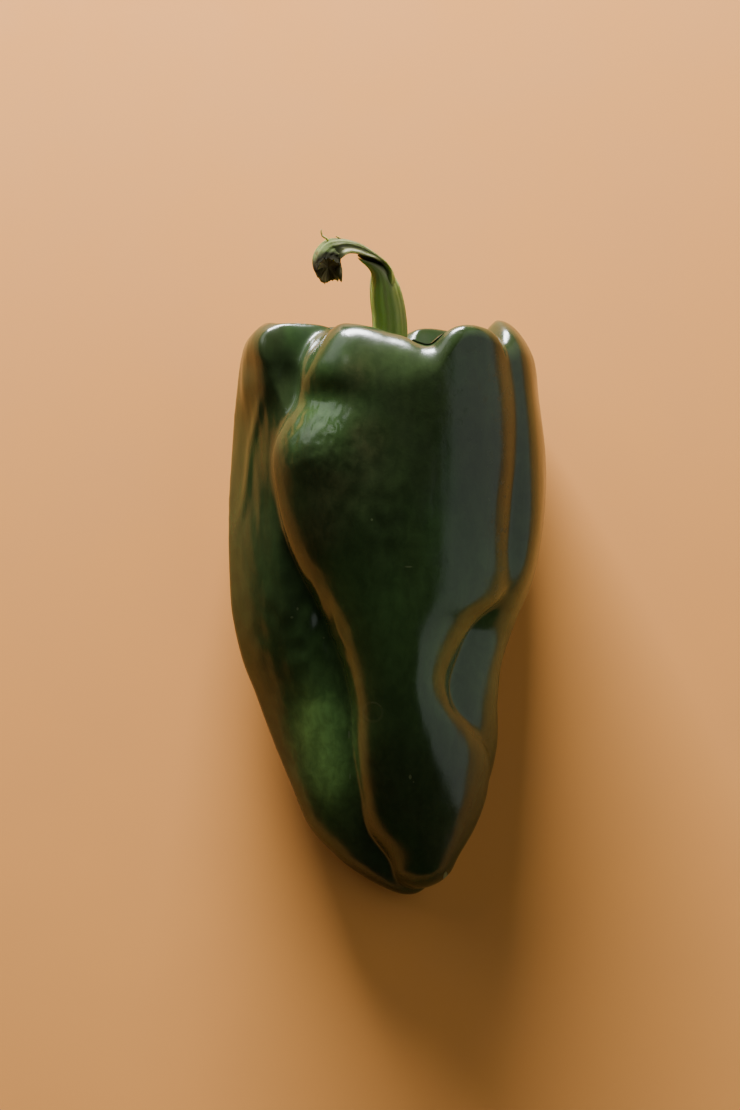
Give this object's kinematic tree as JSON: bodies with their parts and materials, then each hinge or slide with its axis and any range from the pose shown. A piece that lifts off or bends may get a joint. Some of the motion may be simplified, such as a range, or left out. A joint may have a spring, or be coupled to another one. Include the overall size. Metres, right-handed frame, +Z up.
{
  "type": "poblano pepper",
  "caption": "Fresh dark green poblano pepper lying on its side, with a lobed glossy pod, a sunken green calyx and a ribbed stem curled over and torn at its end.",
  "frame": {"origin": "centre of the bounding box in plan, at the table surface that the pod rests on", "axes": "+Y along the pod from its tip to its stem end, +Z up from the table, +X to the right seen from above with the stem end away from the viewer"},
  "size_m": [0.069, 0.1358, 0.0522],
  "materials": {
    "pod": "glossy waxy skin, very dark green",
    "calyx": "satin, mid green",
    "stem": "fibrous, olive green"
  },
  "bodies": {
    "root": {"pod": "pod", "calyx": "calyx", "stem": "stem"}
  },
  "joints": []
}
